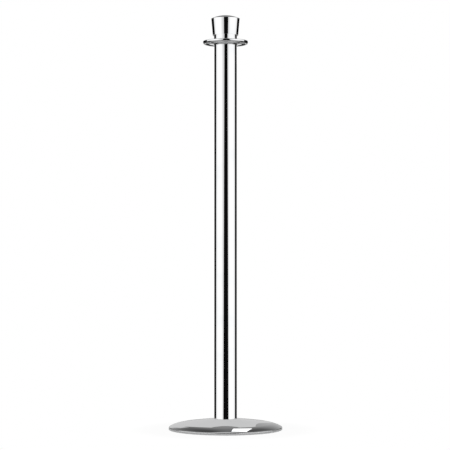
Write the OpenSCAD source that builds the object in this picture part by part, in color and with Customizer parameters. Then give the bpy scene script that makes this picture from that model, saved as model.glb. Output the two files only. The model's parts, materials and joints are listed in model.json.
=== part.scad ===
// Crown-top rope post: a weighted round base, a plain tube, a slotted rope ring and a screw-on crown.
// Origin at the middle of the footprint on the floor, +Z up the tube's axis.

/* [Post] */
// Height of the crown's top above the floor
post_h = 929.5; // [850:0.5:1070]
// Outside diameter of the tube
tube_d = 50.8; // [50:0.1:52]
// Wall of the tube
tube_wall = 1.6; // [1.2:0.1:2]

/* [Base] */
// Diameter over the cover's rim
base_d = 254; // [240:2:300]
// Fall of the cover's top towards the rim, in degrees
base_slope = 7.5; // [5:0.5:9]
// Radius of the cover's shoulder
shoulder_r = 73; // [60:1:85]
// Steepest angle of the shoulder before the rim turns down, in degrees
shoulder_end = 28.5; // [22:0.5:32]
// Height of the rim's straight part
rim_h = 4; // [3.5:0.5:8]
// Radius where the shoulder turns down into the rim
rim_r = 2; // [2:0.1:4]
// Sheet thickness of the cover
cover_t = 1.2; // [1:0.1:1.5]
// Height that the rubber ring lifts the rim off the floor
rim_gap = 1; // [0.8:0.1:2]

/* [Rope ring] */
// Diameter over the ring's rim
ring_d = 101.6; // [96:0.2:110]
// Height of the rim, which is rounded inside and nearly flat outside
rim_bar_h = 6.2; // [5:0.1:7]
// Width of the rim, across
rim_bar_w = 7; // [6.5:0.1:8]
// Thickness of the hub and the spokes
hub_t = 4.5; // [4:0.1:5]
// Radius of the hub
hub_r = 33; // [31:0.5:34]
// Number of hook slots
slot_count = 4; // [3:1:6]
// Width of each spoke between two slots
spoke_w = 10; // [8:0.5:14]

/* [Crown] */
// Largest diameter, at the rim of the dome
crown_d = 64.4; // [60:0.2:66]
// Diameter at the foot of the flare
flare_foot_d = 57.7; // [55.5:0.1:58.5]
// Diameter of the neck
neck_d = 51.8; // [50:0.1:52]
// Height of the neck
neck_h = 11.9; // [9:0.1:14]
// Height of the crown from its foot to the top of the dome
crown_h = 56.5; // [54:0.5:64]
// Rise of the dome above the middle of its rounded rim
dome_rise = 7.5; // [6:0.1:10]
// Radius of the dome's rounded rim
dome_rim_r = 1.5; // [1:0.1:2.5]
// Wall of the crown
crown_wall = 1.6; // [1.2:0.1:1.8]

/* [Hardware] */
// Diameter of the tie rod's thread
rod_d = 10; // [10:1:10]
// Width across the flats of the hexagon nuts
nut_af = 17; // [16:0.5:17]
// Height of the hexagon nuts
nut_h = 8; // [7:0.5:8]
// Radial clearance of each turning fit
run_gap = 0.05; // [0.02:0.01:0.09]

/* [Hidden] */
$fn = 96;

// Radii taken from the diameters
tube_r = tube_d / 2;
bore_r = tube_r - tube_wall;
rod_r = rod_d / 2;
base_r = base_d / 2;
ring_r = ring_d / 2;
neck_r = neck_d / 2;

// Base cover: a flat land under the tube, a straight slope, a shoulder arc and a turned-down rim
land_r = tube_r + 1.6;
rim_arc_c = [base_r - rim_r, rim_gap + rim_h];
shoulder_foot = rim_arc_c + rim_r * [sin(shoulder_end), cos(shoulder_end)];
shoulder_c = shoulder_foot - shoulder_r * [sin(shoulder_end), cos(shoulder_end)];
shoulder_top = shoulder_c + shoulder_r * [sin(base_slope), cos(base_slope)];
base_h = shoulder_top[1] + (shoulder_top[0] - land_r) * tan(base_slope);
arc_steps = 8;

// Base weight: stands just inside the cover, with a boss that centres the tube
weight_gap = 0.3;
weight_foot_z = rim_gap + 0.6;
boss_r = bore_r - 0.15;
boss_h = 45;
weight_dish_h = 2;
weight_dish_in = 32;
recess_r = 24;
recess_top_z = 16;
rod_hole_r = rod_r + 0.5;

// Rubber ring in a groove under the weight's edge
pad_out = base_r - 8;
pad_in = pad_out - 20;
pad_h = 4.4;
pad_lip = 0.8;

// Hardware below, hanging under the roof of the recess
plain_washer_t = 2.5;
plain_washer_r = 15;
spring_washer_t = 2.2;
spring_washer_r = 9;
rod_nut_top_z = recess_top_z - plain_washer_t - spring_washer_t;
rod_foot_z = rod_nut_top_z - nut_h - 1.3;

// Levels at the top, worked down from the dome
crown_foot_z = post_h - crown_h;
washer_t = 1.5;
spigot_top_z = crown_foot_z - washer_t;
ring_play = 0.2;
ring_top_z = spigot_top_z - ring_play;
hub_foot_z = ring_top_z - hub_t;
collar_h = 5;
tube_top_z = hub_foot_z - collar_h;

// Top plug: pressed into the tube, with a spigot through the collar and the ring
plug_depth = 30;
spigot_r = 16;
nut_pocket_r = 11.5;
pocket_washer_t = 2;
pocket_washer_r = 10.8;
nut_below_top = 1.2;
top_nut_z = spigot_top_z - nut_below_top - nut_h;
pocket_floor_z = top_nut_z - pocket_washer_t;

// Rope ring
bush_in = spigot_r + run_gap;
bush_out = spigot_r + 2.5;
rim_bar_in = ring_r - rim_bar_w;
rim_bar_edge = rim_bar_h / 2;
rim_corner_r = 1.1;

// Crown, its threaded plug and the washer clipped on the plug's lip
plug_r = neck_r - crown_wall;
crown_plug_h = 17;
lip_r = 14;
lip_h = washer_t - 0.25;
rod_top_z = crown_foot_z + crown_plug_h - 0.4;
flare_foot_z = crown_foot_z + neck_h;
step_h = 0.3;
dome_rim_c = [crown_d / 2 - dome_rim_r, post_h - dome_rise];
dome_r = (pow(dome_rim_c[0], 2) + pow(dome_rise, 2) - pow(dome_rim_r, 2))
    / (2 * (dome_rise - dome_rim_r));
dome_c = [0, post_h - dome_r];
dome_half = atan2(dome_rim_c[0], dome_rim_c[1] - dome_c[1]);
dome_inner_edge_r = crown_d / 2 - crown_wall - 0.5;
dome_inner_half = asin(dome_inner_edge_r / (dome_r - crown_wall));

// Points of an arc about c, from angle a0 to a1
function arc(c, r, a0, a1, steps = arc_steps) =
    [for (i = [0:steps]) let (a = a0 + (a1 - a0) * i / steps) c + r * [cos(a), sin(a)]];

function reversed(list) = [for (i = [len(list) - 1:-1:0]) list[i]];

// Outer line of the cover, moved in by t, from the hole at the tube to the rim's lower edge
function cover_line(hole_r, t, foot_z) = concat(
    [[hole_r, base_h - t], [land_r, base_h - t]],
    arc(shoulder_c, shoulder_r - t, 90 - base_slope, 90 - shoulder_end),
    arc(rim_arc_c, rim_r - t, 90 - shoulder_end, 0),
    [[base_r - t, foot_z]]
);

// Crown's neck, its nearly flat step and the foot of its flare, moved in and up by t
function crown_foot_line(t) = [
    [neck_r - t, crown_foot_z],
    [neck_r - t, flare_foot_z + t],
    [flare_foot_d / 2 - t, flare_foot_z + step_h + t]
];

// Ring of rectangular section
module washer(r_in, r_out, z, h) {
    translate([0, 0, z])
        difference() {
            cylinder(r = r_out, h = h);
            translate([0, 0, -1])
                cylinder(r = r_in, h = h + 2);
        }
}

// Hexagon nut with both faces chamfered, standing on z
module hex_nut(z) {
    corner_r = nut_af / 2 / cos(30);
    face_r = nut_af / 2 * 0.96;
    chamfer = 1;
    translate([0, 0, z])
        difference() {
            intersection() {
                cylinder(r = corner_r, h = nut_h, $fn = 6);
                rotate_extrude()
                    polygon([
                        [0, 0], [face_r, 0], [corner_r, chamfer],
                        [corner_r, nut_h - chamfer], [face_r, nut_h], [0, nut_h]
                    ]);
            }
            translate([0, 0, -1])
                cylinder(r = rod_r + run_gap, h = nut_h + 2);
        }
}

// Flared shell with a domed top, open at the neck
module crown_cap() {
    outside = concat(
        crown_foot_line(0),
        arc(dome_rim_c, dome_rim_r, 0, 90 - dome_half, 4),
        arc(dome_c, dome_r, 90 - dome_half, 90)
    );
    inside = concat(
        crown_foot_line(crown_wall),
        arc(dome_c, dome_r - crown_wall, 90 - dome_inner_half, 90)
    );
    color("gainsboro")
        rotate_extrude()
            polygon(concat(outside, reversed(inside)));
}

// Threaded plug pressed into the crown's neck, with a lip below that carries the washer
module crown_plug() {
    color("goldenrod")
        difference() {
            union() {
                translate([0, 0, crown_foot_z])
                    cylinder(r = plug_r, h = crown_plug_h);
                translate([0, 0, crown_foot_z - lip_h])
                    cylinder(r = lip_r, h = lip_h + 1);
            }
            translate([0, 0, crown_foot_z - lip_h - 1])
                cylinder(r = rod_r + run_gap, h = crown_plug_h + lip_h + 2);
        }
}

// Washer between the crown and the spigot, held on the plug's lip
module crown_washer() {
    color("whitesmoke")
        washer(lip_r + run_gap, neck_r - 0.4, spigot_top_z, washer_t);
}

// Section of the rim: a half round inside, small rounded corners outside
module rim_section() {
    translate([rim_bar_edge, rim_bar_edge])
        circle(r = rim_bar_edge);
    translate([rim_bar_edge, 0])
        square([rim_bar_w - rim_bar_edge - rim_corner_r, rim_bar_h]);
    translate([rim_bar_edge, rim_corner_r])
        square([rim_bar_w - rim_bar_edge, rim_bar_h - 2 * rim_corner_r]);
    for (z = [rim_corner_r, rim_bar_h - rim_corner_r])
        translate([rim_bar_w - rim_corner_r, z])
            circle(r = rim_corner_r);
}

// Hub, spokes and rim, with an open hook slot between each pair of spokes
module rope_ring() {
    color("gainsboro") {
        washer(bush_out, hub_r, hub_foot_z, hub_t);
        difference() {
            for (i = [0:slot_count - 1])
                rotate([0, 0, i * 360 / slot_count])
                    translate([hub_r - 2, -spoke_w / 2, hub_foot_z])
                        cube([rim_bar_in + 4 - hub_r, spoke_w, hub_t]);
            translate([0, 0, hub_foot_z - 1])
                cylinder(r = bush_out, h = hub_t + 2);
        }
        rotate_extrude()
            translate([rim_bar_in, ring_top_z - rim_bar_h])
                rim_section();
    }
}

// Plain bush pressed into the hub, running on the spigot
module ring_bush() {
    color("ivory")
        washer(bush_in, bush_out, hub_foot_z, hub_t);
}

// Flared collar that seats on the tube's end and carries the ring
module ring_collar() {
    edge_h = 0.8;
    flare_w = hub_r - tube_r;
    flare_h = collar_h - edge_h;
    flare = [for (i = [0:arc_steps]) let (a = 90 * i / arc_steps)
        [tube_r + flare_w * (1 - cos(a)), tube_top_z + flare_h * sin(a)]];
    color("gainsboro")
        rotate_extrude()
            polygon(concat(
                [[spigot_r + 0.2, tube_top_z]],
                flare,
                [[hub_r, hub_foot_z], [spigot_r + 0.2, hub_foot_z]]
            ));
}

// Plug pressed into the top of the tube, with the spigot and the pocket for the upper nut
module top_plug() {
    color("lightslategray")
        difference() {
            union() {
                translate([0, 0, tube_top_z - plug_depth])
                    cylinder(r = bore_r, h = plug_depth);
                cylinder_from(spigot_r, tube_top_z - 1, spigot_top_z);
            }
            cylinder_from(rod_hole_r, tube_top_z - plug_depth - 1, spigot_top_z + 1);
            cylinder_from(nut_pocket_r, pocket_floor_z, spigot_top_z + 1);
        }
}

// Cylinder between two levels
module cylinder_from(r, z0, z1) {
    translate([0, 0, z0])
        cylinder(r = r, h = z1 - z0);
}

module top_washer() {
    color("silver")
        washer(rod_hole_r, pocket_washer_r, pocket_floor_z, pocket_washer_t);
}

module top_nut() {
    color("silver")
        hex_nut(top_nut_z);
}

// Rod through the whole post, with chamfered ends
module tie_rod() {
    chamfer = 1.2;
    color("silver")
        rotate_extrude()
            polygon([
                [0, rod_foot_z], [rod_r - chamfer, rod_foot_z], [rod_r, rod_foot_z + chamfer],
                [rod_r, rod_top_z - chamfer], [rod_r - chamfer, rod_top_z], [0, rod_top_z]
            ]);
}

module post_tube() {
    color("gainsboro")
        washer(bore_r, tube_r, base_h, tube_top_z - base_h);
}

// Spun cover, clamped between the foot of the tube and the weight
module base_cover() {
    hole_r = boss_r + 0.15;
    color("gainsboro")
        rotate_extrude()
            polygon(concat(
                cover_line(hole_r, 0, rim_gap),
                reversed(cover_line(hole_r, cover_t, rim_gap))
            ));
}

// Cast weight with the centring boss, the nut recess and the groove for the rubber ring
module base_weight() {
    inset = cover_t + weight_gap;
    color("dimgray")
        difference() {
            union() {
                rotate_extrude()
                    polygon(concat(
                        [[0, weight_foot_z], [0, base_h - inset]],
                        cover_line(boss_r, inset, weight_foot_z)
                    ));
                cylinder_from(boss_r, base_h - inset - 1, base_h + boss_h);
                // Seat that meets the cover under the tube
                cylinder_from(land_r, base_h - inset - 1, base_h - cover_t);
            }
            cylinder_from(rod_hole_r, 0, base_h + boss_h + 1);
            cylinder_from(recess_r, 0, recess_top_z);
            washer(pad_in, pad_out, 0, pad_h);
            washer(weight_dish_in, pad_in - 6, 0, weight_foot_z + weight_dish_h);
        }
}

module rod_washer() {
    color("silver")
        washer(rod_hole_r, plain_washer_r, recess_top_z - plain_washer_t, plain_washer_t);
}

// Spring washer, split on one side
module lock_washer() {
    split_w = 1.6;
    color("silver")
        difference() {
            washer(rod_r + 0.2, spring_washer_r, rod_nut_top_z, spring_washer_t);
            translate([rod_r - 1, 0, rod_nut_top_z + spring_washer_t / 2])
                rotate([30, 0, 0])
                    translate([0, -split_w / 2, -5])
                        cube([spring_washer_r, split_w, 10]);
        }
}

module rod_nut() {
    color("silver")
        hex_nut(rod_nut_top_z - nut_h);
}

// Rubber ring that the post stands on, with a narrower tread below
module floor_ring() {
    color("black")
        rotate_extrude()
            polygon([
                [pad_in, pad_h], [pad_in, weight_foot_z], [pad_in + pad_lip, 0],
                [pad_out - pad_lip, 0], [pad_out, weight_foot_z], [pad_out, pad_h]
            ]);
}

crown_cap();
crown_plug();
crown_washer();
rope_ring();
ring_bush();
ring_collar();
top_plug();
top_nut();
top_washer();
tie_rod();
post_tube();
base_cover();
base_weight();
rod_washer();
lock_washer();
rod_nut();
floor_ring();
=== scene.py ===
import json
import math

import bpy
import numpy as np
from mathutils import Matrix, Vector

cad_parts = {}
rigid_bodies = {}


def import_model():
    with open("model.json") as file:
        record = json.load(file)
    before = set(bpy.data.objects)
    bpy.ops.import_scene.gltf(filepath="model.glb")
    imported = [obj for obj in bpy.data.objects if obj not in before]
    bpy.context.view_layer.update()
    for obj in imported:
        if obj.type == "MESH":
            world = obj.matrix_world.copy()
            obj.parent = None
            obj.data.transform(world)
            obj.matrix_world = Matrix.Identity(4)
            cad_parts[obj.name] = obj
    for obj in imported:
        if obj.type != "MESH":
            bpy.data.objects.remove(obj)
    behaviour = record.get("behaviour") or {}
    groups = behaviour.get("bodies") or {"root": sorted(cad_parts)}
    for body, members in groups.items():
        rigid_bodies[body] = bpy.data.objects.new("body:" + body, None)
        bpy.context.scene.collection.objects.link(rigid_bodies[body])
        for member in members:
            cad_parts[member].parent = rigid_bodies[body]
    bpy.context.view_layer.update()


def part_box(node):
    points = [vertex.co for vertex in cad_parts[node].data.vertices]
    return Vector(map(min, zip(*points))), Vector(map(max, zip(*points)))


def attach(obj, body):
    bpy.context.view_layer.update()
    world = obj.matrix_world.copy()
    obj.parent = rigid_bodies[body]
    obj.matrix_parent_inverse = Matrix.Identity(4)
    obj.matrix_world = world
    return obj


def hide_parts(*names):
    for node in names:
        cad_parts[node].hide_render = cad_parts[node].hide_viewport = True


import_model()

scene = bpy.context.scene
toMetres = 0.001      # outlines below are worked out in millimetres


cameraSetup = {
    "distance": 3.496,     # metres in front of the tube's axis
    "height": 0.3833,      # metres above the floor, a little under the middle of the post
    "aside": -0.00123,     # metres to the right of the axis
    "pitch": 1.223,        # degrees upwards
    "lens": 124.63,        # millimetres
    "sensor": 36.0,        # millimetres
}


def makeCamera(setup):
    data = bpy.data.cameras.new("camera")
    data.lens = setup["lens"]
    data.sensor_width = setup["sensor"]
    camera = bpy.data.objects.new("camera", data)
    camera.location = (setup["aside"], -setup["distance"], setup["height"])
    camera.rotation_euler = (math.radians(90 + setup["pitch"]), 0, 0)
    scene.collection.objects.link(camera)
    scene.camera = camera


makeCamera(cameraSetup)
print("camera placed")


def nodeSpan(node):
    # lowest z, highest z and outer radius of a CAD node, in millimetres
    low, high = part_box(node)
    return low[2] / toMetres, high[2] / toMetres, max(high[0], high[1]) / toMetres


def arcPoints(centre, radius, startAngle, endAngle, count):
    # centre + radius * (cos a, sin a), with a running evenly from start to end, in degrees
    a = np.radians(np.linspace(startAngle, endAngle, count))
    return np.column_stack([centre[0] + radius * np.cos(a), centre[1] + radius * np.sin(a)])


filletRule = {
    "points": 7,
    "mostOfLine": 0.48,       # a fillet takes up at most this share of either line
    "guard": 0.12,            # from a fillet's end to its guard point, in millimetres
    "guardShare": 0.2,        # a short fillet's guard point is nearer: this share of its reach,
    "guardLeast": 0.02,       # and this much more
}


def roundedLine(points, fillets, closed=True, rule=filletRule):
    # straight lines through (r, z) points. Each corner is the arc of its fillet radius that touches
    # both lines, with one guard point just outside each end so that shading stays flat beyond it
    points = np.asarray(points, float)
    count = len(points)
    most = rule["mostOfLine"]
    t = np.linspace(0, 1, rule["points"])[:, None]
    out = []
    for i, (here, fillet) in enumerate(zip(points, fillets, strict=True)):
        if not closed and i in (0, count - 1) or fillet <= 0:
            out.append(here[None])
            continue
        before, after = points[i - 1] - here, points[(i + 1) % count] - here
        lengthBefore, lengthAfter = np.hypot(*before), np.hypot(*after)
        before, after = before / lengthBefore, after / lengthAfter
        half = math.acos(np.clip(np.dot(before, after), -1, 1)) / 2
        reach = min(fillet / math.tan(half), most * lengthBefore, most * lengthAfter)
        radius = reach * math.tan(half)
        toMiddle = (before + after) / np.linalg.norm(before + after)
        middle = here + toMiddle * radius / math.sin(half)
        startVec, endVec = here + before * reach - middle, here + after * reach - middle
        swing = math.pi - 2 * half
        arc = (np.sin((1 - t) * swing) * startVec + np.sin(t * swing) * endVec) / math.sin(swing)
        near = min(rule["guard"], rule["guardShare"] * reach + rule["guardLeast"])
        out.append(np.vstack([
            here + before * (reach + near), middle + arc, here + after * (reach + near)
        ]))
    return np.vstack(out)


def gridFaces(rows, columns, closeRows, closeColumns, offset=0):
    # quads of a rows by columns grid of points, wrapped round where a direction is closed
    i = np.arange(rows if closeRows else rows - 1)[:, None]
    j = np.arange(columns if closeColumns else columns - 1)[None, :]
    nextI, nextJ = (i + 1) % rows, (j + 1) % columns
    quads = np.stack(np.broadcast_arrays(
        i * columns + j, i * columns + nextJ, nextI * columns + nextJ, nextI * columns + j
    ), -1)
    return quads.reshape(-1, 4) + offset


def turned(r, z, angle):
    # (r cos t, r sin t, z) for every radius, height and angle t, as one grid of points
    return np.stack(np.broadcast_arrays(r * np.cos(angle), r * np.sin(angle), z), -1)


def solidOfRevolution(outline, segments, closed=True):
    # every outline point (r, z) carried through a full turn. An open outline starts and ends on the
    # axis, where the points of a row are one point
    angle = np.linspace(0, 2 * math.pi, segments, endpoint=False)
    points = turned(outline[:, 0, None], outline[:, 1, None], angle)
    if closed:
        return points.reshape(-1, 3), gridFaces(len(outline), segments, True, True)
    rows = len(outline) - 2
    body = gridFaces(rows, segments, False, True, offset=1)
    lastRow, poleEnd = 1 + (rows - 1) * segments, rows * segments + 1
    j = np.arange(segments)
    nextJ = (j + 1) % segments
    first = np.stack([np.zeros_like(j), 1 + nextJ, 1 + j], -1)
    last = np.stack([lastRow + j, lastRow + nextJ, np.full_like(j, poleEnd)], -1)
    points = np.vstack([
        [[0, 0, outline[0, 1]]], points[1:-1].reshape(-1, 3), [[0, 0, outline[-1, 1]]]
    ])
    return points, [*body.tolist(), *first.tolist(), *last.tolist()]


def tubeAlong(points):
    # a grid of rings (length, round, 3), each counterclockwise as seen from ahead, with flat ends
    length, around = points.shape[:2]
    faces = gridFaces(length, around, False, True).tolist()
    faces.append(list(range(around))[::-1])
    faces.append([(length - 1) * around + k for k in range(around)])
    return points.reshape(-1, 3), faces


def joined(*surfaces):
    # several surfaces as one list of points and faces
    points, faces, offset = [], [], 0
    for surfacePoints, surfaceFaces in surfaces:
        points.append(surfacePoints)
        surfaceFaces = np.asarray(surfaceFaces, object).tolist()
        faces += [[k + offset for k in face] for face in surfaceFaces]
        offset += len(surfacePoints)
    return np.vstack(points), faces


def meshObject(name, points, faces, material):
    mesh = bpy.data.meshes.new(name)
    mesh.from_pydata(points, [], faces)
    mesh.materials.append(material)
    thing = bpy.data.objects.new(name, mesh)
    scene.collection.objects.link(thing)
    return thing


class Nodes:
    # short calls for building a material's or the world's node tree
    def __init__(self, tree):
        self.tree = tree

    def add(self, kind, settings=None, **inputs):
        node = self.tree.nodes.new(kind)
        for name, value in (settings or {}).items():
            setattr(node, name, value)
        for name, value in inputs.items():
            byNumber = name[0] == "i" and name[1:].isdigit()
            self.join(value, node.inputs[int(name[1:]) if byNumber else name.replace("_", " ")])
        return node

    def join(self, value, socket):
        # a link from another node's output, or a constant
        if isinstance(value, bpy.types.NodeSocket):
            self.tree.links.new(value, socket)
        else:
            socket.default_value = value

    def maths(self, operation, *values):
        inputs = {f"i{k}": v for k, v in enumerate(values)}
        return self.add("ShaderNodeMath", {"operation": operation}, **inputs).outputs[0]

    def ramp(self, value, fromLow, fromHigh, toLow=0.0, toHigh=1.0, smooth=True):
        kind = "SMOOTHSTEP" if smooth else "LINEAR"
        return self.add(
            "ShaderNodeMapRange", {"interpolation_type": kind}, Value=value,
            From_Min=fromLow, From_Max=fromHigh, To_Min=toLow, To_Max=toHigh,
        ).outputs[0]

    def blend(self, factor, low, high):
        # low where factor is 0, high where it is 1, for plain numbers
        mix = self.add("ShaderNodeMix", {"data_type": "FLOAT"}, i0=factor, i2=low, i3=high)
        return mix.outputs[0]

    def noise(self, stretch, scale, detail=2.0, roughness=0.5):
        # noise over the piece's own coordinates, in metres, stretched along x, y and z
        place = self.add("ShaderNodeTexCoord").outputs["Object"]
        vector = self.add("ShaderNodeMapping", None, Vector=place, Scale=stretch).outputs[0]
        return self.add("ShaderNodeTexNoise", None, Vector=vector, Scale=scale, Detail=detail,
                        Roughness=roughness).outputs[0]

    def pits(self, scale, floor):
        # 0 in the middle of each cell, 1 beyond the distance called floor
        place = self.add("ShaderNodeTexCoord").outputs["Object"]
        cells = self.add("ShaderNodeTexVoronoi", None, Vector=place, Scale=scale)
        return self.ramp(cells.outputs["Distance"], 0.0, floor)

    def colours(self, factor, low, high):
        mix = self.add("ShaderNodeMix", {"data_type": "RGBA"}, i0=factor)
        mix.inputs[6].default_value = (*low, 1)
        mix.inputs[7].default_value = (*high, 1)
        return mix.outputs[2]

    def bump(self, height, depth):
        strength, distance = depth
        return self.add("ShaderNodeBump", None, Height=height, Strength=strength,
                        Distance=distance).outputs[0]


def newMaterial(name):
    material = bpy.data.materials.new(name)
    material.use_nodes = True
    tree = material.node_tree
    return material, Nodes(tree), tree.nodes["Principled BSDF"].inputs


chromePlate = {
    "deep": (0.79, 0.80, 0.81),      # colour in the faintly hazed patches
    "bright": (0.86, 0.865, 0.87),
    "polish": 0.012,                 # roughness of the clean plate
    "haze": 0.03,                    # roughness added where cloths have rubbed it
    "patches": {"stretch": (1, 1, 1), "scale": 14.0, "detail": 4.0, "roughness": 0.6},
    "patchEdge": (0.45, 0.75),       # noise values where a patch starts and is full
    "lines": {"stretch": (40.0, 40.0, 1400.0), "scale": 1.0, "detail": 1.0},      # polishing lines
    "lineEdge": (0.4, 0.7),
    "lineDepth": (0.0008, 0.0002),   # strength and distance of the bump
}


def makeChrome(look):
    material, nodes, shader = newMaterial("polishedChrome")
    lines = nodes.noise(**look["lines"])
    rubbed = nodes.ramp(nodes.noise(**look["patches"]), *look["patchEdge"])
    streaks = nodes.maths("MULTIPLY", rubbed, nodes.ramp(lines, *look["lineEdge"]))
    rough = nodes.maths("MULTIPLY_ADD", streaks, look["haze"], look["polish"])
    shader["Metallic"].default_value = 1.0
    nodes.join(nodes.colours(rubbed, look["bright"], look["deep"]), shader["Base Color"])
    nodes.join(rough, shader["Roughness"])
    nodes.join(nodes.bump(lines, look["lineDepth"]), shader["Normal"])
    return material


# the other finishes: a main colour with patches of another, and a fine grain that sets both
# roughness and bump
paintedIron = {
    "metallic": 0.0,
    "colour": (0.018, 0.018, 0.019),
    "patchColour": (0.055, 0.053, 0.050),      # worn
    "patches": {"stretch": (1, 1, 1), "scale": 30.0, "detail": 6.0, "roughness": 0.7},
    "patchEdge": (0.5, 0.7),
    "grain": {"stretch": (1, 1, 1), "scale": 900.0, "detail": 5.0, "roughness": 0.65},
    "rough": (0.45, 0.75),
    "depth": (0.55, 0.0006),
    "pits": (260.0, 0.35),
}

zincPlatedSteel = {
    "metallic": 1.0,
    "colour": (0.50, 0.53, 0.57),              # blue
    "patchColour": (0.66, 0.66, 0.64),         # grey
    "patches": {"stretch": (1, 1, 1), "scale": 90.0, "detail": 3.0},
    "patchEdge": (0.4, 0.65),
    "grain": {"stretch": (300, 300, 2600), "scale": 1.0, "detail": 3.0},
    "rough": (0.22, 0.42),
    "depth": (0.2, 0.0001),
}

turnedBrass = {
    "metallic": 1.0,
    "colour": (0.80, 0.62, 0.30),
    "patchColour": (0.47, 0.33, 0.14),         # tarnished
    "patches": {"stretch": (1, 1, 1), "scale": 120.0, "detail": 5.0},
    "patchEdge": (0.48, 0.72),
    "grain": {"stretch": (20, 20, 6000), "scale": 1.0, "detail": 2.0},
    "rough": (0.18, 0.36),
    "depth": (0.35, 0.0001),
}

naturalNylon = {
    "metallic": 0.0,
    "colour": (0.78, 0.76, 0.69),
    "patchColour": (0.70, 0.67, 0.58),         # cloudy, without a clear edge
    "patches": {"stretch": (1, 1, 1), "scale": 160.0, "detail": 3.0},
    "grain": {"stretch": (1, 1, 1), "scale": 2500.0, "detail": 2.0},
    "rough": (0.38, 0.55),
    "depth": (0.12, 0.0001),
}

blackRubber = {
    "metallic": 0.0,
    "colour": (0.016, 0.016, 0.017),
    "patchColour": (0.060, 0.058, 0.055),      # dusty
    "patches": {"stretch": (1, 1, 1), "scale": 60.0, "detail": 6.0, "roughness": 0.7},
    "patchEdge": (0.5, 0.75),
    "grain": {"stretch": (1, 1, 1), "scale": 3200.0, "detail": 3.0},
    "rough": (0.62, 0.86),
    "depth": (0.4, 0.0001),
}

grainEdge = (0.3, 0.7)      # noise values where the grain is smoothest and roughest


def makeFinish(name, look):
    material, nodes, shader = newMaterial(name)
    patches = nodes.noise(**look["patches"])
    if "patchEdge" in look:
        patches = nodes.ramp(patches, *look["patchEdge"])
    grain = nodes.noise(**look["grain"])
    height = grain
    if "pits" in look:
        height = nodes.maths("ADD", grain, nodes.pits(*look["pits"]))
    shader["Metallic"].default_value = look["metallic"]
    nodes.join(nodes.colours(patches, look["colour"], look["patchColour"]), shader["Base Color"])
    nodes.join(nodes.ramp(grain, *grainEdge, *look["rough"]), shader["Roughness"])
    nodes.join(nodes.bump(height, look["depth"]), shader["Normal"])
    return material


finishes = {
    "polished_chrome": makeChrome(chromePlate),
    "cast_iron": makeFinish("paintedIron", paintedIron),
    "zinc_steel": makeFinish("zincPlatedSteel", zincPlatedSteel),
    "turned_brass": makeFinish("turnedBrass", turnedBrass),
    "nylon": makeFinish("naturalNylon", naturalNylon),
    "rubber": makeFinish("blackRubber", blackRubber),
}
print("materials made")


def makePiece(name, surface, body, node, slot):
    points, faces = surface
    points = (np.asarray(points, float) * toMetres).tolist()
    piece = meshObject(name, points, [list(f) for f in faces], finishes[slot])
    piece.data.polygons.foreach_set("use_smooth", np.ones(len(piece.data.polygons), bool))
    piece.data.update()
    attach(piece, body)
    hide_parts(node)


crownShape = {
    "neckRadius": 25.9,
    "neckHeight": 11.9,
    "flareFootRadius": 28.85,
    "lipRise": 0.2, "lipDrop": 0.3,    # the flare's foot hangs just below the top of the neck
    "domeRise": 7.8,          # top of the dome above the middle of its rounded rim
    "rimFillet": 0.6,
    "wall": 1.6,
    "insideStep": 0.3,        # step between flare and neck on the inside
    "insideCorner": 0.5,      # the inside of the dome stops this far short of the flare
    "fillets": (0, 1.0, 1.0, 0.25, 0.4, 0.1, 0.12, 0),     # from inside the dome, down and round
    "flareShares": (0.25, 0.5, 0.75, 0.96),      # where the flare has extra points
    "segments": 256,
}


def makeCrown(shape):
    footZ, topZ, rimRadius = nodeSpan("crown_cap")
    wall, fillet, rise = shape["wall"], shape["rimFillet"], shape["domeRise"]
    neck, flare = shape["neckRadius"], shape["flareFootRadius"]
    stepZ = footZ + shape["neckHeight"]
    insideRadius = rimRadius - wall - shape["insideCorner"]
    # the rim's fillet circle touches the dome's circle from inside
    rimCentre = (rimRadius - fillet, topZ - rise)
    domeRadius = (rimCentre[0] ** 2 + rise ** 2 - fillet ** 2) / (2 * (rise - fillet))
    domeCentre = (0.0, topZ - domeRadius)
    spread = math.degrees(math.atan2(rimCentre[0], rimCentre[1] - domeCentre[1]))
    insideSpread = math.degrees(math.asin(insideRadius / (domeRadius - wall)))
    insideDome = arcPoints(domeCentre, domeRadius - wall, 90, 90 - insideSpread, 24)
    lower = roundedLine([
        (insideRadius, insideDome[-1, 1]), (flare - wall, stepZ + wall + shape["insideStep"]),
        (neck - wall, stepZ + wall), (neck - wall, footZ), (neck, footZ),
        (neck, stepZ + shape["lipRise"]), (flare, stepZ - shape["lipDrop"]),
        (rimRadius, topZ - rise),
    ], shape["fillets"], closed=False)
    flareRise = np.array([[1 - t, t] for t in shape["flareShares"]])
    flareLine = flareRise @ np.array([lower[-2], lower[-1]])
    rim = arcPoints(rimCentre, fillet, 0, 90 - spread, 9)
    dome = arcPoints(domeCentre, domeRadius, 90 - spread, 90, 40)
    outline = np.vstack([insideDome, lower[1:-1], flareLine, rim, dome[1:]])
    makePiece("crownShell", solidOfRevolution(outline, shape["segments"], closed=False),
              "crown", "crown_cap", "polished_chrome")


makeCrown(crownShape)
print("crown shell made")


crownPlugShape = {
    "lipRadius": 14.0,
    "lipHeight": 1.25,
    "boreRadius": 5.05,
    "fillets": (0.6, 0.6, 0.2, 0.0, 0.3, 0.8),      # from the top of the bore, down and round
    "segments": 128,
}


def makeCrownPlug(shape):
    lipZ, topZ, radius = nodeSpan("crown_plug")
    bore, lip, seatZ = shape["boreRadius"], shape["lipRadius"], lipZ + shape["lipHeight"]
    outline = roundedLine([
        (bore, topZ), (bore, lipZ), (lip, lipZ), (lip, seatZ), (radius, seatZ), (radius, topZ),
    ], shape["fillets"])
    makePiece("crownPlugBrass", solidOfRevolution(outline, shape["segments"]),
              "crown", "crown_plug", "turned_brass")


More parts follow.
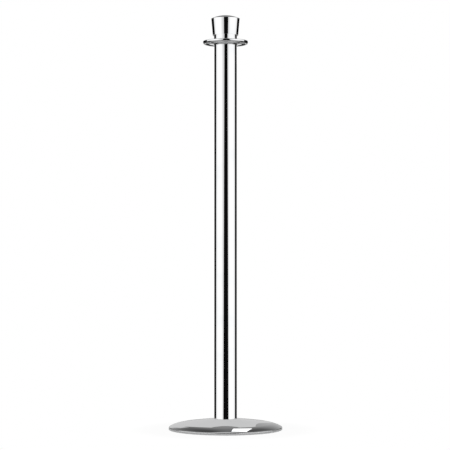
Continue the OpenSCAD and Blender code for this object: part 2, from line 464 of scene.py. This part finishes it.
def flatOutline(bore, radius, lowZ, highZ, fillet):
    # a rectangle between two radii, its corners alike
    corners = [(bore, highZ), (bore, lowZ), (radius, lowZ), (radius, highZ)]
    return roundedLine(corners, [fillet] * len(corners))


flatRingSegments = 128
thrustWasherShape = {"boreRadius": 14.05, "fillet": 0.3}


def makeFlatRing(name, shape, body, node, slot):
    lowZ, highZ, radius = nodeSpan(node)
    outline = flatOutline(shape["boreRadius"], radius, lowZ, highZ, shape["fillet"])
    makePiece(name, solidOfRevolution(outline, flatRingSegments), body, node, slot)


makeCrownPlug(crownPlugShape)
makeFlatRing("crownThrustWasher", thrustWasherShape, "crown_seat", "crown_washer", "nylon")
print("crown plug and washer made")


ropeRingShape = {
    "barWidth": 7.0,
    "barHeight": 6.6,
    "topCorner": 1.0,          # fillet of the outer face's upper edge
    "footWidth": 3.5, "footHeight": 3.9,    # quarter ellipse of its lower edge
    "hubRadius": 33.0,
    "hubThickness": 4.5,
    "hubBore": 18.5,
    "hubFillets": (0.2, 0.2, 1.1, 1.1),     # two at the bore, two at the slots
    "spokes": 4,
    "spokeWidth": 9.4,
    "spokeFlare": 2.6,         # width that the spoke gains at each end
    "spokeStart": 3.0,         # how far inside the hub's edge it starts
    "spokeSink": 0.15,         # how much lower than the hub its two faces lie
    "squareness": 4.5,         # exponent of the spoke's rounded section
    "segments": 256,
}


def makeRopeRing(shape):
    topZ, radius = nodeSpan("rope_ring")[1:]
    half = shape["barHeight"] / 2
    inner = radius - shape["barWidth"] + half
    # (radius - w + w sin t, foot + h - h cos t) for the lower edge, then two circular arcs
    t = np.radians(np.linspace(0, 90, 16))
    width, height, corner = shape["footWidth"], shape["footHeight"], shape["topCorner"]
    foot = np.column_stack([radius - width + width * np.sin(t),
                            topZ - shape["barHeight"] + height - height * np.cos(t)])
    bar = np.vstack([
        foot, arcPoints((radius - corner, topZ - corner), corner, 0, 90, 10),
        arcPoints((inner, topZ - half), half, 90, 270, 30),
    ])
    bore, hubRadius, hubZ = shape["hubBore"], shape["hubRadius"], topZ - shape["hubThickness"]
    hub = roundedLine([(bore, topZ), (bore, hubZ), (hubRadius, hubZ), (hubRadius, topZ)],
                      shape["hubFillets"])
    surfaces = [solidOfRevolution(line, shape["segments"]) for line in (bar, hub)]
    # each spoke: rings of |cos|^(2/n), |sin|^(2/n) carried outwards, wider towards both ends
    start = hubRadius - shape["spokeStart"]
    along = np.linspace(start, inner, 28)[:, None]
    around = np.linspace(0, 2 * math.pi, 48, endpoint=False)[None, :]
    fromMiddle = np.abs(2 * (along - start) / (inner - start) - 1)
    halfWidth = shape["spokeWidth"] / 2 + shape["spokeFlare"] / 2 * fromMiddle ** 3
    power = 2 / shape["squareness"]
    side = np.sign(np.cos(around)) * np.abs(np.cos(around)) ** power
    rise = np.sign(np.sin(around)) * np.abs(np.sin(around)) ** power
    thickness = shape["hubThickness"] / 2 - shape["spokeSink"]
    grid = np.stack(np.broadcast_arrays(
        along, halfWidth * side, hubZ + shape["hubThickness"] / 2 + thickness * rise), -1)
    for turn in np.arange(shape["spokes"]) * 2 * math.pi / shape["spokes"]:
        c, s = math.cos(turn), math.sin(turn)
        surfaces.append(tubeAlong(grid @ np.array([[c, s, 0], [-s, c, 0], [0, 0, 1]])))
    makePiece("ropeRing", joined(*surfaces), "ring", "rope_ring", "polished_chrome")


ringBushShape = {"boreRadius": 16.05, "fillet": 0.2}

collarShape = {
    "boreRadius": 16.2,
    "footRadius": 25.4,
    "footLand": 0.5,           # flat strip under the cove's foot
    "edgeHeight": 0.8,
    "coveEnd": 0.6,            # the cove gives way to the edge's fillet this far in
    "fillets": (0, 0.3, 0.3, 0.2, 0.2, 0),      # from the cove's end, up and round
    "segments": 256,
}


def makeCollar(shape):
    lowZ, topZ, radius = nodeSpan("ring_collar")
    bore, foot = shape["boreRadius"], shape["footRadius"]
    # a cove: quarter ellipse, upright where it leaves the tube and level at the edge
    a = np.radians(np.linspace(0, 90, 20))
    width, height = radius - foot, topZ - lowZ - shape["edgeHeight"]
    cove = np.column_stack([foot + width * (1 - np.cos(a)), lowZ + height * np.sin(a)])
    edgeZ = cove[-1, 1]
    edge = roundedLine([
        (radius - 1, edgeZ), (radius, edgeZ), (radius, topZ), (bore, topZ), (bore, lowZ),
        (foot - shape["footLand"], lowZ),
    ], shape["fillets"], closed=False)
    outline = np.vstack([cove[cove[:, 0] < radius - shape["coveEnd"]], edge[1:]])
    makePiece("ringCollar", solidOfRevolution(outline, shape["segments"]), "root", "ring_collar",
              "polished_chrome")


makeRopeRing(ropeRingShape)
makeFlatRing("ringBush", ringBushShape, "ring", "ring_bush", "nylon")
makeCollar(collarShape)
print("rope ring, bush and collar made")


tubeShape = {
    "wall": 1.6,
    "edgeFillet": 0.1,
    "segments": 320,
}


def makeTube(shape):
    lowZ, topZ, radius = nodeSpan("post_tube")
    outline = flatOutline(radius - shape["wall"], radius, lowZ, topZ, shape["edgeFillet"])
    makePiece("postTube", solidOfRevolution(outline, shape["segments"]), "root", "post_tube",
              "polished_chrome")


topPlugShape = {
    "spigotRadius": 16.0,
    "spigotHeight": 9.7,
    "holeRadius": 5.5,
    "pocketRadius": 11.5,
    "pocketDepth": 11.2,
    "fillets": (0.4, 0.3, 0.3, 0.5, 1.2, 0.4, 0.4, 0.5),      # from the pocket's mouth, round
    "segments": 128,
}


def makeTopPlug(shape):
    lowZ, topZ, radius = nodeSpan("top_plug")
    pocket, hole, spigot = shape["pocketRadius"], shape["holeRadius"], shape["spigotRadius"]
    shoulderZ, pocketZ = topZ - shape["spigotHeight"], topZ - shape["pocketDepth"]
    outline = roundedLine([
        (pocket, topZ), (pocket, pocketZ), (hole, pocketZ), (hole, lowZ),
        (radius, lowZ), (radius, shoulderZ), (spigot, shoulderZ), (spigot, topZ),
    ], shape["fillets"])
    makePiece("topPlug", solidOfRevolution(outline, shape["segments"]), "root", "top_plug",
              "zinc_steel")


makeTube(tubeShape)
makeTopPlug(topPlugShape)
print("tube and top plug made")


coverShape = {
    "holeRadius": 23.8,
    "landRadius": 27.0,
    "slope": 7.5,              # degrees that the top falls towards the rim
    "slopeEvenness": 0.977,
    "shoulderRadius": 73.0,
    "shoulderEnd": 28.5,       # degrees, where the shoulder meets the rim's fillet
    "rimHeight": 4.0,
    "rimFillet": 2.0,
    "leastFillet": 0.1,        # of the rim seen from inside
    "footFillet": 0.4,
    "sheet": 1.2,
    "segments": 384,
}


def coverLine(shape, footZ, radius, inset, arcCount):
    # shoulder arc and rim fillet, moved in by inset, from the slope's end to the rim's upright edge
    slope, end, fillet = shape["slope"], shape["shoulderEnd"], shape["rimFillet"]
    shoulderRadius = shape["shoulderRadius"]
    rimCentre = np.array([radius - fillet, footZ + shape["rimHeight"]])
    outward = np.array([math.sin(math.radians(end)), math.cos(math.radians(end))])
    shoulderCentre = rimCentre + (fillet - shoulderRadius) * outward
    rimRadius = max(fillet - inset, shape["leastFillet"])
    return np.vstack([
        arcPoints(shoulderCentre, shoulderRadius - inset, 90 - slope, 90 - end, arcCount),
        arcPoints(rimCentre, rimRadius, 90 - end, 0, arcCount // 2)[1:],
    ])


def makeCover(shape):
    footZ, topZ, radius = nodeSpan("base_cover")
    sheet, hole, land = shape["sheet"], shape["holeRadius"], shape["landRadius"]
    rimZ, fillet = footZ + shape["rimHeight"], shape["footFillet"]
    outer = coverLine(shape, footZ, radius, 0.0, 40)
    inner = coverLine(shape, footZ, radius, sheet, 16)[::-1]
    # crowned slope: it falls by a t + (1 - a) t^5, so it is steepest where the shoulder starts
    landEnd = np.array([land, topZ])
    t, a = np.linspace(0, 1, 40)[:-1, None], shape["slopeEvenness"]
    slopeLine = landEnd + (outer[0] - landEnd) * np.hstack([t, a * t + (1 - a) * t ** 5])
    edge = roundedLine([
        (radius, rimZ), (radius, footZ), (radius - sheet, footZ), (radius - sheet, rimZ),
    ], (0, fillet, fillet, 0), closed=False)[1:-1]
    outline = np.vstack([
        edge, inner, [(land, topZ - sheet), (hole, topZ - sheet), (hole, topZ)], slopeLine, outer,
    ])
    # the outline so far runs clockwise, so it is turned over
    makePiece("baseCover", solidOfRevolution(outline[::-1], shape["segments"]),
              "root", "base_cover", "polished_chrome")


weightShape = {
    "gap": 0.3,                # between the weight and the cover
    "bossRadius": 23.65,
    "holeRadius": 5.5,
    "recessRadius": 24.0,
    "recessTop": 16.0,
    "dishInner": 32.0,
    "dishDepth": 2.0,
    "padWidth": 20.0,          # of the groove that holds the rubber ring
    "padLand": 6.0,            # between the groove and the dish
    "grooveTop": 4.4,
    "skirt": 3.0,              # height where the outer edge meets the cover's line
    # from the outer edge, under the foot, up the rod's hole and out to the cover
    "fillets": (0, 0.6, 0.3, 0, 0, 0.5, 1.0, 1.2, 1.2, 1.0, 1.0, 1.5, 0.4, 0.5, 2.0, 0, 0, 0),
    "segments": 192,
}


def makeWeight(shape, cover):
    footZ, topZ = nodeSpan("base_weight")[:2]
    coverFoot, coverTop, coverRadius = nodeSpan("base_cover")
    inset = cover["sheet"] + shape["gap"]
    edge, sheetZ, land = coverRadius - inset, coverTop - cover["sheet"], cover["landRadius"]
    padOut = nodeSpan("floor_ring")[2]
    padIn = padOut - shape["padWidth"]
    dishOut, dishIn = padIn - shape["padLand"], shape["dishInner"]
    dishZ = footZ + shape["dishDepth"]
    grooveZ, recessZ = shape["grooveTop"], shape["recessTop"]
    recess, hole, boss = shape["recessRadius"], shape["holeRadius"], shape["bossRadius"]
    under = roundedLine([
        (edge, coverFoot + shape["skirt"]), (edge, footZ), (padOut, footZ), (padOut, grooveZ),
        (padIn, grooveZ), (padIn, footZ), (dishOut, footZ), (dishOut, dishZ), (dishIn, dishZ),
        (dishIn, footZ), (recess, footZ), (recess, recessZ), (hole, recessZ), (hole, topZ),
        (boss, topZ), (boss, sheetZ), (land, sheetZ), (land, coverTop - inset),
    ], shape["fillets"], closed=False)[1:]
    outline = np.vstack([under, coverLine(cover, coverFoot, coverRadius, inset, 24)])
    makePiece("baseWeight", solidOfRevolution(outline[::-1], shape["segments"]),
              "root", "base_weight", "cast_iron")


floorRingShape = {
    "width": 20.0,
    "lip": 0.8,
    "sideStart": 1.6,          # height where its sides become upright
    "grooves": 5,
    "grooveDepth": 0.5,
    "segments": 192,
}


def makeFloorRing(shape):
    lowZ, topZ, radius = nodeSpan("floor_ring")
    inner, lip, sideZ = radius - shape["width"], shape["lip"], lowZ + shape["sideStart"]
    # tread: raised cosine grooves across the width, z = depth * (1 - cos(2 pi n t)) / 2
    t = np.linspace(0, 1, shape["grooves"] * 12 + 1)
    tread = np.column_stack([
        inner + lip + (shape["width"] - 2 * lip) * t,
        lowZ + shape["grooveDepth"] * (1 - np.cos(2 * math.pi * shape["grooves"] * t)) / 2,
    ])
    outline = np.vstack([
        [(inner, topZ), (inner, sideZ)], tread, [(radius, sideZ), (radius, topZ)],
    ])
    makePiece("floorRing", solidOfRevolution(outline, shape["segments"]), "root", "floor_ring",
              "rubber")


makeCover(coverShape)
makeWeight(weightShape, coverShape)
makeFloorRing(floorRingShape)
print("base cover, weight and rubber ring made")


threadShape = {
    "pitch": 1.5,
    "depth": 0.75,
    "steepness": 2.6,          # of the flanks, against a plain triangle wave
    "crest": 0.25,             # share that is cut flat
    "topLength": 45.0,
    "footLength": 26.0,
    "runOut": 3.0,             # millimetres over which the thread fades into the plain rod
    "chamfer": 1.2,
    "rowsPerPitch": 10,
    "plainRows": 12,
    "segments": 40,
}


def threadDepth(z, angle, shape):
    # a rounded 60 degree thread: a triangle wave along z that climbs one pitch a turn
    phase = (z / shape["pitch"] - angle / (2 * math.pi)) % 1.0
    return np.clip(np.abs(phase - 0.5) * shape["steepness"] - shape["crest"], 0, 1)


def makeTieRod(shape):
    lowZ, topZ, radius = nodeSpan("tie_rod")
    footLength, topLength = shape["footLength"], shape["topLength"]
    step = shape["pitch"] / shape["rowsPerPitch"]
    footEnd, topStart = lowZ + footLength, topZ - topLength
    z = np.concatenate([
        np.linspace(lowZ, footEnd, round(footLength / step), endpoint=False),
        np.linspace(footEnd, topStart, shape["plainRows"], endpoint=False),
        np.linspace(topStart, topZ, round(topLength / step)),
    ])[:, None]
    angle = np.linspace(0, 2 * math.pi, shape["segments"], endpoint=False)[None, :]
    fromEnd = np.minimum(z - lowZ, topZ - z)
    length = np.where(z > (lowZ + topZ) / 2, topLength, footLength)
    fade = np.clip((length - fromEnd) / shape["runOut"], 0, 1)
    r = radius - shape["depth"] * fade * threadDepth(z, angle, shape)
    r = np.minimum(r, radius - shape["chamfer"] + fromEnd)      # 45 degrees at both ends
    makePiece("tieRod", tubeAlong(turned(r, z, angle)), "root", "tie_rod", "zinc_steel")


nutShape = {
    "acrossFlats": 17.0,
    "boreRadius": 5.05,
    "boreChamfer": 0.7,
    "faceShare": 0.95,         # of the flats, the circle that the chamfer starts from
    "faceAngle": 30.0,         # degrees between that chamfer and the face
    "rows": (0, 0, 0.15, 0.35, 0.6, 0.9, 1.2, 1.6, 2.4),      # down from each face
    "segments": 144,
}


def makeNut(name, node, shape):
    lowZ, topZ = nodeSpan(node)[:2]
    apothem, bore, chamfer = shape["acrossFlats"] / 2, shape["boreRadius"], shape["boreChamfer"]
    angle = np.linspace(0, 2 * math.pi, shape["segments"], endpoint=False)[None, :]
    # a hexagon's radius at each angle, cut by a cone towards both faces
    sixth = (angle + math.pi / 6) % (math.pi / 3) - math.pi / 6
    hexagon = apothem / np.cos(math.pi / 6 - np.abs(sixth))
    face = apothem * shape["faceShare"]
    down = np.array(shape["rows"])
    z = np.concatenate([lowZ + down, (topZ - down)[::-1]])[:, None]
    fromFace = np.minimum(z - lowZ, topZ - z)
    outer = np.minimum(hexagon, face + fromFace / math.tan(math.radians(shape["faceAngle"])))
    inner = np.array([[bore + chamfer, topZ], [bore, topZ - chamfer],
                      [bore, lowZ + chamfer], [bore + chamfer, lowZ]])
    z = np.vstack([z[1:-1], inner[:, 1:]])
    r = np.vstack([outer[1:-1], np.repeat(inner[:, :1], angle.size, 1)])
    lastOuter = len(outer) - 3
    r[0], r[lastOuter] = np.minimum(r[0], face), np.minimum(r[lastOuter], face)
    surface = turned(r, z, angle).reshape(-1, 3), gridFaces(len(r), angle.size, True, True)
    makePiece(name, surface, "root", node, "zinc_steel")


springWasherShape = {
    "boreRadius": 5.2,
    "splitAngle": 14.0,        # degrees left open
    "fillet": 0.3,
    "rows": 72,
}


def makeSpringWasher(shape):
    lowZ, topZ, radius = nodeSpan("lock_washer")
    section = flatOutline(shape["boreRadius"], radius, lowZ, topZ, shape["fillet"])
    gap = math.radians(shape["splitAngle"]) / 2
    angle = np.linspace(gap, 2 * math.pi - gap, shape["rows"])[:, None]
    points, faces = tubeAlong(turned(section[None, :, 0], section[None, :, 1], angle))
    faces = [face[::-1] for face in faces]      # the section runs the other way round
    makePiece("springWasher", (points, faces), "root", "lock_washer", "zinc_steel")


topWasherShape = {"boreRadius": 5.5, "fillet": 0.25}
rodWasherShape = {"boreRadius": 5.5, "fillet": 0.3}

makeTieRod(threadShape)
makeNut("topNut", "top_nut", nutShape)
makeNut("rodNut", "rod_nut", nutShape)
makeFlatRing("topWasher", topWasherShape, "root", "top_washer", "zinc_steel")
makeFlatRing("rodWasher", rodWasherShape, "root", "rod_washer", "zinc_steel")
makeSpringWasher(springWasherShape)
print("rod, nuts and washers made")


floorLook = {
    "radius": 0.27,
    "drop": 0.0002,            # metres below the rubber ring's foot
    "rings": 11,
    "segments": 96,
    "paint": 0.50,
    "glow": 1.02,
    "shadowShare": 0.08,       # how much of the soft shadow shows on the white floor
    "fade": (0.55, 0.98),      # shares of the radius between which the shadow fades out
}


def makeFloor(look):
    # flat disc of rings, (r cos t, r sin t, z), its middle closed by one face
    radius, segments = look["radius"], look["segments"]
    rings = np.linspace(0, radius, look["rings"] + 1)[1:, None]
    angle = np.linspace(0, 2 * math.pi, segments, endpoint=False)
    faces = gridFaces(len(rings), segments, False, True)[:, ::-1].tolist()
    faces.append(list(range(segments)))
    material = bpy.data.materials.new("paleFloor")
    material.use_nodes = True
    tree = material.node_tree
    tree.nodes.clear()
    nodes = Nodes(tree)
    paint = nodes.add("ShaderNodeBsdfDiffuse", None, Color=(look["paint"],) * 3 + (1,))
    glow = nodes.add("ShaderNodeEmission", None, Color=(1, 1, 1, 1), Strength=look["glow"])
    place = nodes.add("ShaderNodeTexCoord").outputs["Object"]
    reach = nodes.add("ShaderNodeVectorMath", {"operation": "LENGTH"}, i0=place).outputs["Value"]
    fadeStart, fadeEnd = (share * radius for share in look["fade"])
    outside = nodes.ramp(reach, fadeStart, fadeEnd, 1 - look["shadowShare"], 1.0)
    seen = nodes.add("ShaderNodeLightPath").outputs["Is Camera Ray"]
    share = nodes.maths("MULTIPLY", outside, seen)
    mix = nodes.add("ShaderNodeMixShader", None, Fac=share, i1=paint.outputs[0],
                    i2=glow.outputs[0])
    nodes.add("ShaderNodeOutputMaterial", None, Surface=mix.outputs[0])
    points = turned(rings, -look["drop"], angle).reshape(-1, 3).tolist()
    meshObject("floor", points, faces, material)


frontGap = {
    "distance": 1.5,           # metres in front of the axis
    "aside": 0.118,            # metres to the right of it
    "lowZ": -0.40, "lowHalf": 0.802,
    "highZ": 2.20, "highHalf": 0.145,
    "glow": 0.004,
}

backdrop = {
    "distance": 8.0,           # metres behind the axis
    "left": -2.0, "right": 0.56,
    "bottom": -0.2, "top": 3.2,
    "leftTop": 3.99,           # its left end stands higher
    "leftEnd": -1.27,
    "glow": 0.63,
}

roofBox = {
    "height": 1.0,             # a long softbox just over the crown's height, behind on the right
    "left": 0.072, "right": 0.272,
    "near": 0.56, "far": 1.43,
    "glow": 1.6,
}


def makeCard(name, corners, glow):
    # a flat card that only reflections see, black but for its glow
    material, _, shader = newMaterial(name)
    shader["Base Color"].default_value = (0.0, 0.0, 0.0, 1)
    shader["Roughness"].default_value = 1.0
    shader["Specular IOR Level"].default_value = 0.0
    shader["Emission Color"].default_value = (1, 1, 1, 1)
    shader["Emission Strength"].default_value = glow
    card = meshObject(name, corners, [tuple(range(len(corners)))], material)
    card.visible_camera = False
    card.visible_diffuse = False
    card.visible_shadow = False


def makeFrontGap(gap):
    # the dark slot between the two front softboxes, a trapezium
    corners = [(-gap["lowHalf"], gap["lowZ"]), (gap["lowHalf"], gap["lowZ"]),
               (gap["highHalf"], gap["highZ"]), (-gap["highHalf"], gap["highZ"])]
    makeCard("frontGap", [(x + gap["aside"], -gap["distance"], z) for x, z in corners],
             gap["glow"])


def makeBackdrop(wall):
    left, right, leftEnd, top = wall["left"], wall["right"], wall["leftEnd"], wall["top"]
    corners = [(left, wall["bottom"]), (right, wall["bottom"]), (right, top),
               (leftEnd, top), (leftEnd, wall["leftTop"]), (left, wall["leftTop"])]
    makeCard("backdrop", [(x, wall["distance"], z) for x, z in corners], wall["glow"])


def makeRoofBox(box):
    corners = [(box["left"], box["near"]), (box["right"], box["near"]),
               (box["right"], box["far"]), (box["left"], box["far"])]
    makeCard("roofBox", [(x, y, box["height"]) for x, y in corners], box["glow"])


# brightness of each part of the room, and where it lies: "up" in degrees above level, "round" in
# degrees either side of the front, "behind" in degrees to the right of straight behind. A pair is
# where a part starts and where it is full, and a triple is its two edges and their softness. The
# roof and the wings run from one brightness to another
tent = {
    "roof": (0.155, 0.068), "roofUp": (20.0, 50.0),
    "roofGlow": 0.10,          # the roof is lighter straight behind
    "glowRise": (-12.0, 2.0), "glowFall": (4.0, 14.0),
    "flank": 0.27,             # mid grey walls beside the object, above the black
    "flankRound": (60.0, 157.0, 4.0), "flankUp": (50.0, 58.0),
    "overhead": 0.62,          # soft panel straight up
    "overheadUp": (58.5, 62.0),
    "sides": 1.18,             # white softboxes, left and right
    "sideInner": 0.72,         # their inner edge, beside the front gap
    "sideInnerRound": (16.0, 46.0),
    "sideOuter": 0.95,         # their outer edge
    "sideOuterRound": (78.0, 110.0),
    "sideRound": (-20.0, 110.0, 1.5), "sideUp": (30.0, 40.0),
    "sideUpper": 0.58,         # share of their brightness left higher up
    "sideUpperUp": (10.0, 20.0),
    "black": 0.003,            # the dark room beyond them
    "blackRound": (108.5, 111.5), "blackUp": (9.0, 12.0),
    "wings": (0.50, 0.13),     # grey at both ends of the backdrop, darker upwards
    "wingShadeUp": (6.0, 34.0),
    "wingBehind": (-20.0, 20.0, 3.0), "wingUp": (32.0, 36.0),
    "wingLeft": (-14.0, -12.0), "wingRight": (1.5, 3.0),
    "under": 0.62,             # what low reflections see past the floor's edge
    "underUp": (-9.0, -12.0),
    "underDark": 0.03,         # the same, beside and behind the object
    "underDarkRound": (84.0, 166.0, 4.0),
    "backFloor": 0.20,         # the far floor behind, seen just below level
    "backFloorBehind": (-12.0, 12.0, 3.0), "backFloorUp": (-30.0, -3.0, 1.5),
    "below": 0.25,
    "belowUp": (-42.0, -48.0),
}


def makeTent(look):
    world = bpy.data.worlds.new("tent")
    scene.world = world
    world.use_nodes = True
    tree = world.node_tree
    tree.nodes.clear()
    nodes = Nodes(tree)

    def both(a, b):
        return nodes.maths("MULTIPLY", a, b)

    def inDegrees(operation, *values):
        return both(nodes.maths(operation, *values), 180 / math.pi)

    def falling(value, edge):
        return nodes.ramp(value, *edge, 1.0, 0.0)

    def between(value, low, high, soft):
        rise = nodes.ramp(value, low - soft, low + soft)
        return both(rise, falling(value, (high - soft, high + soft)))

    direction = nodes.add("ShaderNodeTexCoord").outputs["Generated"]
    parts = nodes.add("ShaderNodeSeparateXYZ", None, Vector=direction).outputs
    up = inDegrees("ARCSINE", parts["Z"])
    side = inDegrees("ARCTAN2", parts["X"], both(parts["Y"], -1.0))
    fromFront = nodes.maths("ABSOLUTE", side)
    behind = inDegrees("ARCTAN2", parts["X"], parts["Y"])

    light = nodes.ramp(up, *look["roofUp"], *look["roof"])
    glow = both(nodes.ramp(behind, *look["glowRise"]), falling(behind, look["glowFall"]))
    light = nodes.maths("ADD", light, both(glow, look["roofGlow"]))
    flank = both(between(fromFront, *look["flankRound"]), falling(up, look["flankUp"]))
    light = nodes.blend(flank, light, look["flank"])
    light = nodes.blend(nodes.ramp(up, *look["overheadUp"]), light, look["overhead"])

    sides = both(between(fromFront, *look["sideRound"]), falling(up, look["sideUp"]))
    inner = nodes.ramp(fromFront, *look["sideInnerRound"])
    outer = nodes.ramp(fromFront, *look["sideOuterRound"])
    softbox = nodes.blend(inner, look["sideInner"], look["sides"])
    softbox = nodes.blend(outer, softbox, look["sideOuter"])
    softbox = both(softbox, nodes.ramp(up, *look["sideUpperUp"], 1.0, look["sideUpper"]))
    light = nodes.blend(sides, light, softbox)
    black = both(nodes.ramp(fromFront, *look["blackRound"]), falling(up, look["blackUp"]))
    light = nodes.blend(black, light, look["black"])

    wings = both(between(behind, *look["wingBehind"]), falling(up, look["wingUp"]))
    ends = nodes.maths("MAXIMUM", nodes.ramp(behind, *look["wingRight"]),
                       falling(behind, look["wingLeft"]))
    shade = nodes.ramp(up, *look["wingShadeUp"], *look["wings"], smooth=False)
    light = nodes.blend(both(wings, ends), light, shade)

    dark = between(fromFront, *look["underDarkRound"])
    under = nodes.blend(dark, look["under"], look["underDark"])
    light = nodes.blend(nodes.ramp(up, *look["underUp"]), light, under)
    backFloor = both(between(behind, *look["backFloorBehind"]), between(up, *look["backFloorUp"]))
    light = nodes.blend(backFloor, light, look["backFloor"])
    light = nodes.blend(nodes.ramp(up, *look["belowUp"]), light, look["below"])

    seen = nodes.add("ShaderNodeLightPath").outputs["Is Camera Ray"]
    shine = nodes.add("ShaderNodeBackground", None, Color=(1, 1, 1, 1),
                      Strength=nodes.blend(seen, light, 1.0))
    nodes.add("ShaderNodeOutputWorld", None, Surface=shine.outputs[0])


softLight = {
    "height": 2.4,
    "forward": 0.4,
    "size": 2.6,
    "power": 42.0,
}


def makeSoftLight(setup):
    # a broad light overhead for the floor and the dull pieces, which the chrome doesn't mirror
    data = bpy.data.lights.new("softLight", "AREA")
    data.size = setup["size"]
    data.energy = setup["power"]
    lamp = bpy.data.objects.new("softLight", data)
    lamp.location = (0, -setup["forward"], setup["height"])
    lamp.visible_glossy = False
    lamp.visible_camera = False
    scene.collection.objects.link(lamp)


makeFloor(floorLook)
makeFrontGap(frontGap)
makeBackdrop(backdrop)
makeRoofBox(roofBox)
makeTent(tent)
makeSoftLight(softLight)
# the chrome mirrors the room and the base's cover, but none of the post's other pieces
mirrored = ("floor", "frontGap", "backdrop", "roofBox", "baseCover")
for piece in scene.objects:
    if piece.type == "MESH" and piece.name not in mirrored:
        piece.visible_glossy = False
scene.view_settings.view_transform = "Standard"
print("floor and light made")
